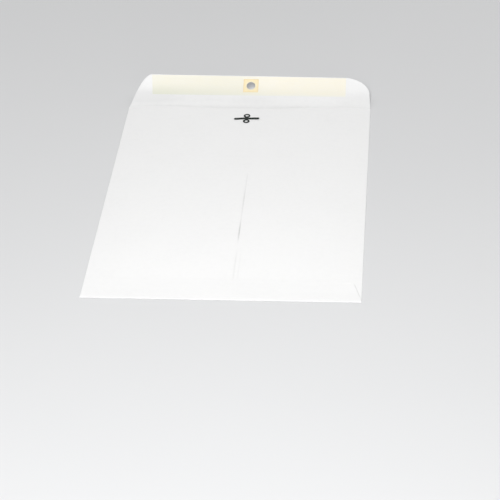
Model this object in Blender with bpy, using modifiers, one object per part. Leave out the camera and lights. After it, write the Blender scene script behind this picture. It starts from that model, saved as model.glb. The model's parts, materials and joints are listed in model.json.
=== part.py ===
"""Clasp envelope, open end, lying on its address side with the seal flap raised.

Metres, +Z up. X runs across the envelope, Y from the bottom fold to the seal flap.
The origin is the centre of the front panel's outer face.
"""
import math

import bmesh
import bpy
from mathutils import Matrix, Vector

# Driving dimensions of the pocket
BODY_WIDTH = 0.2540
BODY_LENGTH = 0.3302
PAPER = 0.00015
POCKET_RISE = 0.00445
BOW_FLAT = 0.0252
BOW_RUN = 0.1520
SEAM_OVERLAP = 0.0180
SEAM_GUM_WIDTH = 0.0130
THROAT_DIP = 0.0085
THROAT_SHOULDER = 0.00045
BOTTOM_FLAP_HEIGHT = 0.0284
BOTTOM_FLAP_TAPER = 0.0084
BOTTOM_FLAP_CORNER = 0.0031
BOTTOM_GUM_WIDTH = 0.0204
BOTTOM_GUM_INSET = 0.0060

# Driving dimensions of the seal flap
FLAP_DEPTH = 0.0417
FLAP_TAPER = 0.0031
FLAP_CORNER_DEPTH = 0.0175
FLAP_CORNER_WIDTH = 0.0195
FLAP_ROOT_TILT = 11.0
FLAP_TIP_TILT = 35.0
FLAP_CLOSE_TURN = 154.0
HOLE_TO_TIP = 0.0115
HOLE_DIAMETER = 0.0092
PATCH_SIDE = 0.0159
GUM_WIDTH = 0.0246
GUM_TO_TIP = 0.0005
GUM_TO_SIDE = 0.0234

# Driving dimensions of the clasp
METAL = 0.00030
PRONG_REACH = 0.0131
PRONG_WIDTH = 0.0035
WAIST_WIDTH = 0.0028
RING_DIAMETER = 0.0070
RING_HOLE = 0.0034
RING_PITCH = 0.0106
EYELET_WALL = 0.00015
CLINCH_WIDTH = 0.0013

# Named clearances and thin layers
FOLD_INNER = 0.00015
LAYER_GAP = 0.00010
FILM = 0.00006
FILM_GAP = 0.00002
PATCH_PAPER = 0.00012
PATCH_ROOM = 0.00010
EDGE_GAP = 0.00002
SEAT_GAP = 0.00004
CREASE_GAP = 0.00006
PRONG_GAP = 0.00010
EYELET_PLAY = 0.00008
FLAP_INSET = 0.00030
HINGE_DROP = 0.00037
ROOT_LIFT = 0.000135
SEAM_GUM_END = 0.0070
BOW_CLEAR = 0.0017

# Levels of the layers above the table at the folds
HALF_W = BODY_WIDTH / 2
BOTTOM_Y = -BODY_LENGTH / 2
FOLD_Y = BODY_LENGTH / 2
SIDE_FOLD_R = PAPER + FOLD_INNER
BACK_Z = 2 * SIDE_FOLD_R - PAPER
SEAM_STEP = PAPER + LAYER_GAP
BACK_TOP = BACK_Z + POCKET_RISE + SEAM_STEP + PAPER
BOTTOM_FLAP_Z = BACK_Z + SEAM_STEP + PAPER + LAYER_GAP
BOTTOM_FOLD_R = (BOTTOM_FLAP_Z + PAPER) / 2

# The bowed back: flat across the seam, falling to the side folds and to the bottom flap
EDGE_X = HALF_W - SIDE_FOLD_R - EDGE_GAP
EDGE_Y = BOTTOM_Y + BOTTOM_FOLD_R + EDGE_GAP
BOW_LOW_Y = BOTTOM_Y + BOTTOM_FLAP_HEIGHT + BOW_CLEAR
BOW_HIGH_Y = BOW_LOW_Y + BOW_RUN
SEAM_X = SEAM_OVERLAP / 2

# The seal flap: an arc of paper that leaves the fold at the root tilt
ROOT_A = math.radians(FLAP_ROOT_TILT)
CURL = math.radians(FLAP_TIP_TILT - FLAP_ROOT_TILT) / FLAP_DEPTH
CLOSE_A = math.radians(FLAP_CLOSE_TURN)
HINGE_Z = BACK_TOP / 2 - HINGE_DROP
ROOT_Z = PAPER + ROOT_LIFT
ROOT_Y = (CREASE_GAP + (HINGE_Z - ROOT_Z) * math.sin(ROOT_A)) / math.cos(ROOT_A)
HOLE_S = FLAP_DEPTH - HOLE_TO_TIP
GUM_S1 = FLAP_DEPTH - GUM_TO_TIP
GUM_S0 = GUM_S1 - GUM_WIDTH
PATCH_S0 = HOLE_S - PATCH_SIDE / 2
PATCH_S1 = HOLE_S + PATCH_SIDE / 2
CORNER_S = FLAP_DEPTH - FLAP_CORNER_DEPTH
CORNER_HALF_W = HALF_W - FLAP_INSET - FLAP_TAPER
GUM_HALF_W = HALF_W - GUM_TO_SIDE

# The clasp sits where the hole comes down when the flap closes
HOLE_A = ROOT_A + CURL * HOLE_S
HOLE_Y = ROOT_Y + (math.sin(HOLE_A) - math.sin(ROOT_A)) / CURL
HOLE_Z = ROOT_Z + (math.cos(ROOT_A) - math.cos(HOLE_A)) / CURL - HINGE_Z
CLASP_Y = FOLD_Y + HOLE_Y * math.cos(CLOSE_A) - HOLE_Z * math.sin(CLOSE_A)
CLASP_Z = BACK_TOP + SEAT_GAP
WAIST_HALF = WAIST_WIDTH / 2
PRONG_AXIS_X = WAIST_HALF + PRONG_GAP + METAL / 2
PRONG_AXIS_Z = CLASP_Z + METAL / 2
BARREL_R = RING_HOLE / 2 + EYELET_WALL
CLINCH_R = RING_HOLE / 2 + CLINCH_WIDTH
CLINCH_TOP = BACK_Z + POCKET_RISE - SEAT_GAP
CLINCH_BOTTOM = CLINCH_TOP - 0.8 * METAL

COLOURS = {
    "paper": (0.90, 0.90, 0.89, 1.0, 0.75, 0.0),
    "gum": (0.93, 0.88, 0.74, 1.0, 0.35, 0.0),
    "patch": (0.80, 0.58, 0.32, 1.0, 0.80, 0.0),
    "clasp": (0.16, 0.17, 0.16, 1.0, 0.35, 1.0),
}


def clear_scene():
    for item in list(bpy.data.objects):
        bpy.data.objects.remove(item, do_unlink=True)


def make_collection(name):
    group = bpy.data.collections.new(name)
    bpy.context.scene.collection.children.link(group)
    return group


def add_object(name, bm, group, look=None, origin=(0.0, 0.0, 0.0)):
    """Turn a bmesh in world coordinates into an object whose origin is at the given point."""
    bmesh.ops.translate(bm, verts=bm.verts, vec=-Vector(origin))
    bmesh.ops.recalc_face_normals(bm, faces=bm.faces)
    mesh = bpy.data.meshes.new(name)
    bm.to_mesh(mesh)
    bm.free()
    item = bpy.data.objects.new(name, mesh)
    item.location = origin
    group.objects.link(item)
    if look:
        red, green, blue, alpha, rough, metal = COLOURS[look]
        mat = bpy.data.materials.new(name + "_" + look)
        mat.use_nodes = True
        shader = mat.node_tree.nodes["Principled BSDF"]
        shader.inputs["Base Color"].default_value = (red, green, blue, alpha)
        shader.inputs["Roughness"].default_value = rough
        shader.inputs["Metallic"].default_value = metal
        mat.diffuse_color = (red, green, blue, alpha)
        mesh.materials.append(mat)
    return item


def outline_prism(points, push):
    """Close a planar outline and push it along a vector."""
    bm = bmesh.new()
    face = bm.faces.new([bm.verts.new(p) for p in points])
    out = bmesh.ops.extrude_face_region(bm, geom=[face])
    moved = [g for g in out["geom"] if isinstance(g, bmesh.types.BMVert)]
    bmesh.ops.translate(bm, verts=moved, vec=Vector(push))
    return bm


def grid_sheet(columns, rows, place):
    """Lay a grid of columns by rows on the surface that place(column, row) gives."""
    bm = bmesh.new()
    nx = len(columns)
    ny = len(rows)
    bmesh.ops.create_grid(bm, x_segments=nx - 1, y_segments=ny - 1, size=1.0)
    for vert in bm.verts:
        i = round((vert.co.x + 1) / 2 * (nx - 1))
        j = round((vert.co.y + 1) / 2 * (ny - 1))
        vert.co = place(columns[i], rows[j])
    return bm


def thicken(item, amount):
    """Give a sheet its thickness on its outward side."""
    mod = item.modifiers.new("thickness", "SOLIDIFY")
    mod.thickness = amount
    mod.offset = 1.0
    mod.use_even_offset = True


def combine(item, tool, how):
    mod = item.modifiers.new(tool.name, "BOOLEAN")
    mod.object = tool
    mod.operation = how
    mod.solver = "EXACT"


def cutter(name, bm, group):
    item = add_object(name, bm, group)
    item.hide_render = True
    item.display_type = "WIRE"
    return item


def cylinder(radius, low, high, centre_x, centre_y, sides=32):
    bm = bmesh.new()
    place = Matrix.Translation((centre_x, centre_y, (low + high) / 2))
    bmesh.ops.create_cone(bm, cap_ends=True, segments=sides, radius1=radius, radius2=radius,
                          depth=high - low, matrix=place)
    return bm


def turned(profile, centre_y, sides=32):
    """Spin a closed profile of radius and height about an upright axis."""
    bm = bmesh.new()
    verts = [bm.verts.new((r, centre_y, z)) for r, z in profile]
    edges = [bm.edges.new((verts[k - 1], verts[k])) for k in range(len(verts))]
    bmesh.ops.spin(bm, geom=verts + edges, cent=(0, centre_y, 0), axis=(0, 0, 1),
                   angle=2 * math.pi, steps=sides, use_merge=True)
    return bm


def crown(x, y):
    """Height of the bowed back above its folds."""
    across = max(0.0, (abs(x) - BOW_FLAT) / (EDGE_X - BOW_FLAT))
    along = (BOW_HIGH_Y - y) / BOW_RUN
    along = min(1.0, max(0.0, along))
    return POCKET_RISE * (1 - across ** 2.5) * (1 - along ** 2.2)


def throat(x):
    """How far the mouth's edge is cut below the flap fold."""
    share = 0.5 + 0.5 * math.cos(math.pi * x / HALF_W)
    return THROAT_SHOULDER + THROAT_DIP * share ** 0.85


def back_rows():
    low = [EDGE_Y, BOW_LOW_Y]
    bow = [BOW_LOW_Y + BOW_RUN * k / 9 for k in range(1, 10)]
    top = [BOW_HIGH_Y + (FOLD_Y - 2 * THROAT_DIP - BOW_HIGH_Y) * k / 3 for k in range(1, 4)]
    return low + bow + top + [FOLD_Y]


def back_columns():
    bow = [EDGE_X - (EDGE_X - BOW_FLAT) * k / 11 for k in range(12)]
    return bow + [SEAM_X, 0.0, -SEAM_X]


def back_place(side, lift):
    """A point on one back panel's inner face; the row at the flap fold follows the throat."""
    def place(x, y):
        wide = x * side
        deep = y - throat(wide) if y == FOLD_Y else y
        ramp = min(1.0, max(0.0, (2.4 * BOW_FLAT - x) / (1.4 * BOW_FLAT)))
        return Vector((wide, deep, BACK_Z + crown(wide, deep) + lift * ramp))
    return place


def half_ring(radius, inner, sides=10):
    """Half of a ring that opens towards positive values, as pairs of numbers."""
    outer = [(-radius * math.cos(math.pi * (k / sides - 0.5)), radius * math.sin(math.pi * (k / sides - 0.5)))
             for k in range(sides + 1)]
    hollow = [(inner / radius * a, inner / radius * b) for a, b in reversed(outer)]
    return outer + hollow


def flap_point(x, s, lift):
    """A point on the flap at arc length s from the fold, lifted off its outer face."""
    turn = ROOT_A + CURL * s
    y = FOLD_Y + ROOT_Y + (math.sin(turn) - math.sin(ROOT_A)) / CURL - lift * math.sin(turn)
    z = ROOT_Z - PAPER / 2 + (math.cos(ROOT_A) - math.cos(turn)) / CURL + lift * math.cos(turn)
    return Vector((x, y, z))


def flap_half_width(s):
    """Tapering sides, then a rounded corner up to the straight tip."""
    if s <= CORNER_S:
        return HALF_W - FLAP_INSET - FLAP_TAPER * s / CORNER_S
    share = (s - CORNER_S) / FLAP_CORNER_DEPTH
    return CORNER_HALF_W - FLAP_CORNER_WIDTH * (1 - math.sqrt(max(0.0, 1 - share ** 2)))


def flap_rows():
    root = [GUM_S0 * k / 4 for k in range(5)]
    patch = [PATCH_S0, (PATCH_S0 + HOLE_S) / 2, HOLE_S, (HOLE_S + PATCH_S1) / 2, PATCH_S1]
    tip = [PATCH_S1 + (GUM_S1 - PATCH_S1) * k / 2 for k in range(1, 3)]
    return root + patch + tip + [FLAP_DEPTH]


def flap_tool(across_shape):
    """Stand a tool that was made about the origin along the flap's normal at the hole."""
    turn = ROOT_A + CURL * HOLE_S
    place = Matrix.Translation(flap_point(0.0, HOLE_S, PAPER)) @ Matrix.Rotation(turn, 4, "X")
    bmesh.ops.transform(across_shape, matrix=place, verts=across_shape.verts)
    return across_shape


def block(size_x, size_y, size_z):
    bm = bmesh.new()
    bmesh.ops.create_cube(bm, size=1.0)
    bmesh.ops.scale(bm, vec=(size_x, size_y, size_z), verts=bm.verts)
    return bm


def build_pocket(parts, tools):
    # The front panel lies on the table, inside the folds
    span_y = FOLD_Y - EDGE_GAP - EDGE_Y
    bm = block(2 * EDGE_X, span_y, PAPER)
    bmesh.ops.translate(bm, verts=bm.verts, vec=(0, EDGE_Y + span_y / 2, PAPER / 2))
    add_object("front_panel", bm, parts, "paper")

    # Left panel runs over the right one at the centre seam
    columns = back_columns()
    rows = back_rows()
    eyelets = [cutter("eyelet_cut_" + tag, cylinder(BARREL_R + EYELET_PLAY, CLINCH_BOTTOM - METAL,
                                                    CLASP_Z + METAL, 0.0, CLASP_Y + dy), tools)
               for tag, dy in (("upper", RING_PITCH / 2), ("lower", -RING_PITCH / 2))]
    for name, side, lift in (("left_back_panel", -1, SEAM_STEP), ("right_back_panel", 1, 0.0)):
        item = add_object(name, grid_sheet(columns, rows, back_place(side, lift)), parts, "paper")
        if item.data.polygons[0].normal.z < 0:
            item.data.flip_normals()
        thicken(item, PAPER)
        for tool in eyelets:
            combine(item, tool, "DIFFERENCE")

    # Rounded folds join the front panel to the back panels and to the bottom flap
    ring = half_ring(SIDE_FOLD_R, FOLD_INNER)
    length = FOLD_Y - THROAT_SHOULDER - EDGE_Y
    for name, side in (("left_side_fold", -1), ("right_side_fold", 1)):
        points = [(-side * a + side * (HALF_W - SIDE_FOLD_R), EDGE_Y, b + SIDE_FOLD_R) for a, b in ring]
        add_object(name, outline_prism(points, (0, length, 0)), parts, "paper")
    ring = half_ring(BOTTOM_FOLD_R, BOTTOM_FOLD_R - PAPER)
    points = [(-HALF_W, a + BOTTOM_Y + BOTTOM_FOLD_R, b + BOTTOM_FOLD_R) for a, b in ring]
    add_object("bottom_fold", outline_prism(points, (BODY_WIDTH, 0, 0)), parts, "paper")

    # The bottom flap is folded up over both back panels
    top = BOTTOM_Y + BOTTOM_FLAP_HEIGHT
    narrow = HALF_W - BOTTOM_FLAP_TAPER
    cut = BOTTOM_FLAP_CORNER
    points = [(-HALF_W, EDGE_Y, BOTTOM_FLAP_Z), (HALF_W, EDGE_Y, BOTTOM_FLAP_Z),
              (narrow + 0.3 * cut, top - cut, BOTTOM_FLAP_Z), (narrow - 0.4 * cut, top - 0.3 * cut, BOTTOM_FLAP_Z),
              (narrow - 1.1 * cut, top, BOTTOM_FLAP_Z), (1.1 * cut - narrow, top, BOTTOM_FLAP_Z),
              (0.4 * cut - narrow, top - 0.3 * cut, BOTTOM_FLAP_Z), (-narrow - 0.3 * cut, top - cut, BOTTOM_FLAP_Z)]
    add_object("bottom_flap", outline_prism(points, (0, 0, PAPER)), parts, "paper")

    # Films of gum in the two closed seams
    bm = block(2 * (narrow - BOTTOM_GUM_INSET), BOTTOM_GUM_WIDTH, FILM)
    bmesh.ops.translate(bm, verts=bm.verts,
                        vec=(0, BOTTOM_Y + BOTTOM_FLAP_HEIGHT / 2, BOTTOM_FLAP_Z - FILM_GAP - FILM / 2))
    add_object("bottom_flap_gum", bm, parts, "gum")
    film_top = CLASP_Y - RING_PITCH / 2 - RING_DIAMETER / 2 - SEAM_GUM_END
    film_rows = [BOW_LOW_Y - SEAM_GUM_END] + [y for y in rows if BOW_LOW_Y <= y < film_top] + [film_top]
    half = SEAM_GUM_WIDTH / 2

    def film_place(x, y):
        return Vector((x, y, BACK_Z + crown(x, y) + PAPER + FILM_GAP))

    film = add_object("centre_seam_gum", grid_sheet([-half, half], film_rows, film_place), parts, "gum")
    if film.data.polygons[0].normal.z < 0:
        film.data.flip_normals()
    thicken(film, FILM)


def build_flap(parts, tools):
    axis = (0.0, FOLD_Y, HINGE_Z)
    rows = flap_rows()
    hole = cutter("flap_hole_cut", flap_tool(cylinder(HOLE_DIAMETER / 2, -0.004, 0.004, 0, 0, 48)), tools)

    def flap_place(u, s):
        return flap_point(u * flap_half_width(s), s, 0.0)

    flap = add_object("seal_flap", grid_sheet([-1.0, 1.0], rows, flap_place), parts, "paper", axis)
    gum_rows = [s for s in rows if GUM_S0 - 1e-9 <= s <= GUM_S1 + 1e-9]

    def gum_place(x, s):
        wide = min(GUM_HALF_W, flap_half_width(s) - GUM_TO_TIP)
        return flap_point(x * wide, s, PAPER + FILM_GAP)

    gum = add_object("flap_gum_strip", grid_sheet([-1.0, 1.0], gum_rows, gum_place), parts, "gum", axis)
    patch_rows = [s for s in rows if PATCH_S0 - 1e-9 <= s <= PATCH_S1 + 1e-9]

    def patch_place(x, s):
        return flap_point(x * PATCH_SIDE / 2, s, PAPER + FILM_GAP)

    patch = add_object("hole_patch", grid_sheet([-1.0, 1.0], patch_rows, patch_place), parts, "patch", axis)
    for item, amount in ((flap, PAPER), (gum, FILM), (patch, PATCH_PAPER)):
        if item.data.polygons[0].normal.z < 0:
            item.data.flip_normals()
        thicken(item, amount)
    room = PATCH_SIDE + 2 * PATCH_ROOM
    window = cutter("gum_window_cut", flap_tool(block(room, room, 0.008)), tools)
    combine(flap, hole, "DIFFERENCE")
    combine(patch, hole, "DIFFERENCE")
    combine(gum, window, "DIFFERENCE")


def ring_outline(z):
    """Outline of the clasp's base: two rings joined by a waist."""
    radius = RING_DIAMETER / 2
    start = math.asin(WAIST_HALF / radius)
    upper = []
    for k in range(25):
        a = -math.pi / 2 + start + (2 * math.pi - 2 * start) * k / 24
        upper.append((radius * math.cos(a), RING_PITCH / 2 + radius * math.sin(a)))
    lower = [(-x, -y) for x, y in upper]
    return [(x, CLASP_Y + y, z) for x, y in upper + lower]


def build_clasp(parts, tools):
    base = add_object("clasp_base", outline_prism(ring_outline(CLASP_Z), (0, 0, METAL)), parts, "clasp")
    seat = BARREL_R + 0.3 * METAL
    for tag, dy in (("upper", RING_PITCH / 2), ("lower", -RING_PITCH / 2)):
        y = CLASP_Y + dy
        cut = cutter("ring_cut_" + tag, cylinder(seat, CLASP_Z - METAL, CLASP_Z + 2 * METAL, 0, y), tools)
        combine(base, cut, "DIFFERENCE")
        profile = [(RING_HOLE / 2, CLINCH_BOTTOM), (CLINCH_R, CLINCH_BOTTOM), (CLINCH_R, CLINCH_TOP),
                   (BARREL_R, CLINCH_TOP), (BARREL_R, CLASP_Z + 0.2 * METAL),
                   (seat + 0.9 * METAL, CLASP_Z + 0.3 * METAL), (seat + 0.9 * METAL, CLASP_Z + 0.6 * METAL),
                   (BARREL_R, CLASP_Z + 1.1 * METAL), (RING_HOLE / 2, CLASP_Z + METAL)]
        eyelet = cutter("eyelet_" + tag, turned(profile, y), tools)
        combine(base, eyelet, "UNION")

    # Flat prongs with round tips, each bent up about the edge of the waist
    half = PRONG_WIDTH / 2
    root = PRONG_AXIS_X - METAL / 2
    for name, side in (("left_prong", -1), ("right_prong", 1)):
        points = [(side * root, CLASP_Y - half, CLASP_Z)]
        for k in range(13):
            a = math.pi * (k / 12 - 0.5)
            points.append((side * (PRONG_REACH - half + half * math.cos(a)), CLASP_Y + half * math.sin(a), CLASP_Z))
        points.append((side * root, CLASP_Y + half, CLASP_Z))
        axis = (side * PRONG_AXIS_X, CLASP_Y, PRONG_AXIS_Z)
        prong = add_object(name, outline_prism(points, (0, 0, METAL)), parts, "clasp", axis)
        mod = prong.modifiers.new("edge", "BEVEL")
        mod.width = 0.2 * METAL
        mod.segments = 1
        mod.limit_method = "ANGLE"


def main():
    clear_scene()
    parts = make_collection("clasp_envelope")
    tools = make_collection("cutters")
    build_pocket(parts, tools)
    build_flap(parts, tools)
    build_clasp(parts, tools)


main()
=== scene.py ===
import json
import math

import bmesh
import bpy
import numpy as np
from mathutils import Matrix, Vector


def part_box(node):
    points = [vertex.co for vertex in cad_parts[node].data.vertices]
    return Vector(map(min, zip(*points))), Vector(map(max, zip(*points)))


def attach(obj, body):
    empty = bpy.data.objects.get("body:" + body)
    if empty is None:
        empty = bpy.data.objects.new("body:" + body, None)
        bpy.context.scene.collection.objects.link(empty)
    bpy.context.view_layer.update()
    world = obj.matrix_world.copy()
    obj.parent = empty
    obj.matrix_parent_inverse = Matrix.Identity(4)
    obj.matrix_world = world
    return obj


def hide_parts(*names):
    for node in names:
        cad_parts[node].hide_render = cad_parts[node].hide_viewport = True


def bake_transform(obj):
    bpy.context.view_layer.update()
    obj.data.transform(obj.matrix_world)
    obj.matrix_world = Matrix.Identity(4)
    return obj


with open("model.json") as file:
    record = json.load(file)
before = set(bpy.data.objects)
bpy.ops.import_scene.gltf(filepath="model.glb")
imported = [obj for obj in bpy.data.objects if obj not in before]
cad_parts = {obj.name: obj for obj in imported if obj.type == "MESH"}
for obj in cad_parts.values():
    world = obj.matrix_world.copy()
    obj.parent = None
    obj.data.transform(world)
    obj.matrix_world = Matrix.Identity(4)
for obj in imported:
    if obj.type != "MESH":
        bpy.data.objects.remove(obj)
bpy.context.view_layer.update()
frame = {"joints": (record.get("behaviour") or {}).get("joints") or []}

X, Y, Z = range(3)


def extent(node, axis):
    """Where a solid starts and ends along an axis, to the micrometre."""
    return [round(float(corner[axis]), 6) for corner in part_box(node)]


def joint_place(name):
    """The point that a joint turns about."""
    return next(joint["pos_m"] for joint in frame["joints"] if joint["name"] == name)


# Paper and pocket
PAPER = extent("front_panel", Z)[1]
SIDE_X, HALF_W = extent("right_side_fold", X)
SIDE_FOLD_R = extent("right_side_fold", Z)[1] / 2
SIDE_FOLD_IN = SIDE_FOLD_R - PAPER
FOLD_Y = joint_place("flap_fold")[Y]
BOTTOM_Y, LIP_START_Y = extent("bottom_fold", Y)
BACK_START_Y = extent("right_back_panel", Y)[0]
BACK_Z, BACK_TOP_Z = extent("right_back_panel", Z)
POCKET_RISE = BACK_TOP_Z - PAPER - BACK_Z

# Bow of the back: the flat middle, the run down to the bottom flap and the powers of its curves
BOW_FLAT = 0.0252
BOW_RUN = 0.1520
BOW_HIGH_Y = 0.0170
BOW_ACROSS = 2.5
BOW_ALONG = 2.2
BOW_EASE = 0.06

# Slow unevenness of the back
COCKLE_HEIGHT = 0.00020
COCKLE_SPAN = (2 * HALF_W, 0.330)
COCKLE_TURN = 6.3
COCKLE_START = (-0.128, -0.090)
COCKLE_END = (0.080, 0.115)
COCKLE_CALM = 0.85

# Mouth: the throat's cut and the lip that hangs a little; bells are weight, middle and width
THROAT_DIP = 0.0085
THROAT_POWER = 0.85
THROAT_REACH = 10
THROAT_SHOULDER = FOLD_Y - extent("right_side_fold", Y)[1]
LIP_RUN = 0.0042
LIP_DROOP = 0.00036
LIP_LEAST = 0.35
LIP_BELLS = ((0.65, -0.046, 0.032), (0.45, 0.042, 0.015), (0.35, 0.096, 0.013))

# Centre seam: the left panel laps over the right one, and its free edge stands open in two stretches
SEAM_X = extent("left_back_panel", X)[1]
SEAM_STEP = extent("left_back_panel", Z)[1] - BACK_TOP_Z
LAP_RUN = 2.4 * BOW_FLAT
PRESS_RUN = (0.0008, 0.0024)
PRESS_GAP = 0.00001
SEAM_OPEN = 0.00030
SEAM_OPEN_REACH = 0.0030
SEAM_BELLS = ((1.0, -0.072, 0.0110), (0.45, -0.012, 0.0160))
SEAM_GUM_HALF = extent("centre_seam_gum", X)[1]
SEAM_GUM_Y = (-0.1290, 0.1197)

# Bottom flap
BOTTOM_FOLD_R = extent("bottom_fold", Z)[1] / 2
BOTTOM_TOP_Y = extent("bottom_flap", Y)[1]
BOTTOM_FLAP_Z = extent("bottom_flap", Z)[0]
BOTTOM_NARROW = 0.1186
BOTTOM_CORNER = 0.0031
BOTTOM_CORNER_WIDE = 1.3 * BOTTOM_CORNER
BOTTOM_SLOPE = 0.298
BOTTOM_GUM_X = extent("bottom_flap_gum", X)
BOTTOM_GUM_Y = extent("bottom_flap_gum", Y)
BOTTOM_GUM_DEPTH = (0.00003, 0.00001)
GLUE = 0.00004
DRAPE_RUN = 0.0050
SETTLE_RUN = 0.0150
CORNER_OPEN = 0.00030
CORNER_OPEN_Y = -0.158
CORNER_OPEN_REACH = 0.0040

# Seal flap: an arc of paper that curls a little more on its left side
FLAP_DEPTH = 0.0417
ROOT_TILT = math.radians(8.0)
TIP_TILT = math.radians(38.0)
TWIST = math.radians(8.0)
ROOT_Y = 0.000449
ROOT_Z = 0.000285
ROOT_RUN = 0.0009
HINGE_RUN = 0.0020
STRAIGHT_HALF = 0.020
# Each side's taper to the tip, the arc length where its corner starts and the corner's width
FLAP_SIDES = {-1: (0.0096, 0.0126, 0.0109), 1: (0.0024, 0.0220, 0.0260)}

# Hole, patch and gum on the flap
HOLE_S = 0.0302
HOLE_R = 0.0046
HOLE_BLOCK = 0.0060
PATCH_HALF = extent("hole_patch", X)[1]
PATCH_ROOM = 0.00010
PATCH_PAPER = 0.00012
GUM_LOW_S = 0.0166
GUM_HIGH_S = 0.0412
GUM_HALF = 0.0124
GUM_LEFT = -0.1052
GUM_RIGHT = 0.1004
GUM_LEAN = 0.0009
GUM_SLANT = 0.0012
GUM_SLANT_CHANGE = 0.0006
FILM = 0.00006
FILM_GAP = 0.00002

# Clasp
CLASP_Y = joint_place("left_prong_bend")[Y]
CLASP_Z, STRIP_TOP_Z = extent("left_prong", Z)
METAL = STRIP_TOP_Z - CLASP_Z
CLASP_LOW_Y, CLASP_HIGH_Y = extent("clasp_base", Y)
RING_R = 0.0035
RING_PITCH = CLASP_HIGH_Y - CLASP_LOW_Y - 2 * RING_R
RING_HOLE_R = 0.0017
BARREL_R = 0.00185
BORE_TOP = 0.00012
FLANGE_DOME = 0.00005
FLANGE_SOFT = 0.00012
ROLL_R = 0.00196
ROLL_HALF = 0.00027
ROLL_FOOT = 0.00028
ROLL_RISE = 0.00026
CLINCH_R = 0.0030
CLINCH_FLAT = 0.0005
CLINCH_SOFT = 0.00012
CLINCH_TOP = 0.00486
CLINCH_LOW = extent("clasp_base", Z)[0]
WAIST_HALF = 0.0014

# Prongs: stations along the strip, from its root on top of the waist to its tip, and its small heights
PRONG_LOW_Y, PRONG_HIGH_Y = extent("right_prong", Y)
PRONG_HALF = (PRONG_HIGH_Y - PRONG_LOW_Y) / 2
PRONG_REACH = extent("right_prong", X)[1]
PRONG_ROOT = 0.00045
PRONG_BEND = (0.0006, 0.0032)
PRONG_FLAT = 0.0042
PRONG_LIFT = 0.00030
PRONG_DROP = (0.0008, 0.0030)
PRONG_RISES = ((0.00010, 0.0030, 0.0080), (0.00012, 0.0090, PRONG_REACH))
PRONG_CREST = 0.00006
PRONG_SWAY_START = 0.0020

# Welding: points in the same cell of this size are one; the shift keeps round numbers off the cells' limits
WELD = 1e-7
WELD_SHIFT = 0.173

# Flat sizes of the sheets
BACK_FLAT = (0.1369, 0.3297)
BOTTOM_FLAT = (2 * HALF_W, 0.0298)

# Floor, light and camera
BACKDROP = (0.660, 0.664, 0.670, 1.0)
FLOOR_HALF = 4.0
FLOOR_Z = -0.0001
LAMP_SIZE = 0.8
LAMPS = (("key_light", (-0.05, -1.20, 1.20), 24.8),
         ("front_fill", (0.45, -1.60, 0.35), 3.2),
         ("back_left_light", (-1.03, 1.14, 0.72), 4.6),
         ("back_right_light", (1.03, 1.14, 0.72), 6.0))
CAMERA_RIGHT = (0.996015, 0.080146, -0.039135)
CAMERA_UP = (-0.015477, 0.587438, 0.809121)
CAMERA_BACK = (0.087837, -0.805291, 0.586337)
CAMERA_SPOT = (0.163274, -1.389931, 0.948130)


# Shapes

def smooth(value, low, high):
    """Smooth step: 0 below low, 1 above high, a cubic between."""
    t = np.clip((value - low) / (high - low), 0.0, 1.0)
    return t * t * (3 - 2 * t)


def bells(value, rows):
    """Sum of bells: each weight times e to minus the square of the way from the middle over the width."""
    return sum(weight * np.exp(-((value - middle) / width) ** 2) for weight, middle, width in rows)


def spread(*stops):
    """Numbers through the given stops; each pair after the first is (next stop, steps to it)."""
    line = [np.array([stops[0]], float)]
    for stop, steps in stops[1:]:
        line.append(np.linspace(line[-1][-1], stop, steps + 1)[1:])
    return np.concatenate(line)


def crown(x, y):
    """Height of the bowed back. Across, 1 less a power of the way from the flat middle to the side fold.
    Along, 1 less a power of the way down to the bottom flap, eased so that it leaves the flap level."""
    across = np.clip((np.abs(x) - BOW_FLAT) / (SIDE_X - BOW_FLAT), 0.0, 1.0)
    along = np.clip((BOW_HIGH_Y - y) / BOW_RUN, 0.0, 1.0)
    fall = 1 - along ** BOW_ALONG
    return POCKET_RISE * (1 - across ** BOW_ACROSS) * (1 + BOW_EASE) * fall ** 2 / (fall + BOW_EASE)


def cockle(x, y):
    """Slow unevenness of handled paper: a product of two crossed sine waves and a weaker second product.
    It dies out at the side folds and the bottom flap, and is weak round the clasp."""
    a = COCKLE_TURN * x / COCKLE_SPAN[X]
    b = COCKLE_TURN * y / COCKLE_SPAN[Y]
    wave = np.sin(1.15 * a + 0.62 * b + 0.7) * np.sin(1.3 * b - 0.5 * a + 1.9)
    wave = wave + 0.55 * np.sin(2.3 * b + 0.9 * a + 0.4) * np.sin(1.9 * a - 0.8 * b + 2.6)
    free = (1 - np.clip(np.abs(x) / SIDE_X, 0.0, 1.0) ** 4) * smooth(y, *COCKLE_START)
    return COCKLE_HEIGHT * wave * free * (1 - COCKLE_CALM * smooth(y, *COCKLE_END))


def throat(x):
    """How far the mouth is cut below the flap fold: a power of a raised cosine, deepest in the middle."""
    raised = 0.5 + 0.5 * np.cos(np.pi * np.clip(x / HALF_W, -1, 1))
    return THROAT_SHOULDER + THROAT_DIP * raised ** THROAT_POWER


def lip_droop(x, y):
    """How far the mouth's lip hangs below the bowed back: a square rise over the last few millimetres before
    the cut edge, scaled by the bow's height there and by bells along the mouth."""
    share = np.clip((y - (FOLD_Y - throat(x)) + LIP_RUN) / LIP_RUN, 0.0, 1.0)
    return LIP_DROOP * (LIP_LEAST + bells(x, LIP_BELLS)) * share ** 2 * crown(x, y) / POCKET_RISE


def back_height(x, y, lift):
    """Inner face of a back panel; lift raises the panel that runs over the other at the seam."""
    ramp = 1 - smooth(np.abs(x), BOW_FLAT, LAP_RUN)
    return BACK_Z + crown(x, y) + cockle(x, y) + lift * ramp - lip_droop(x, y)


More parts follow.
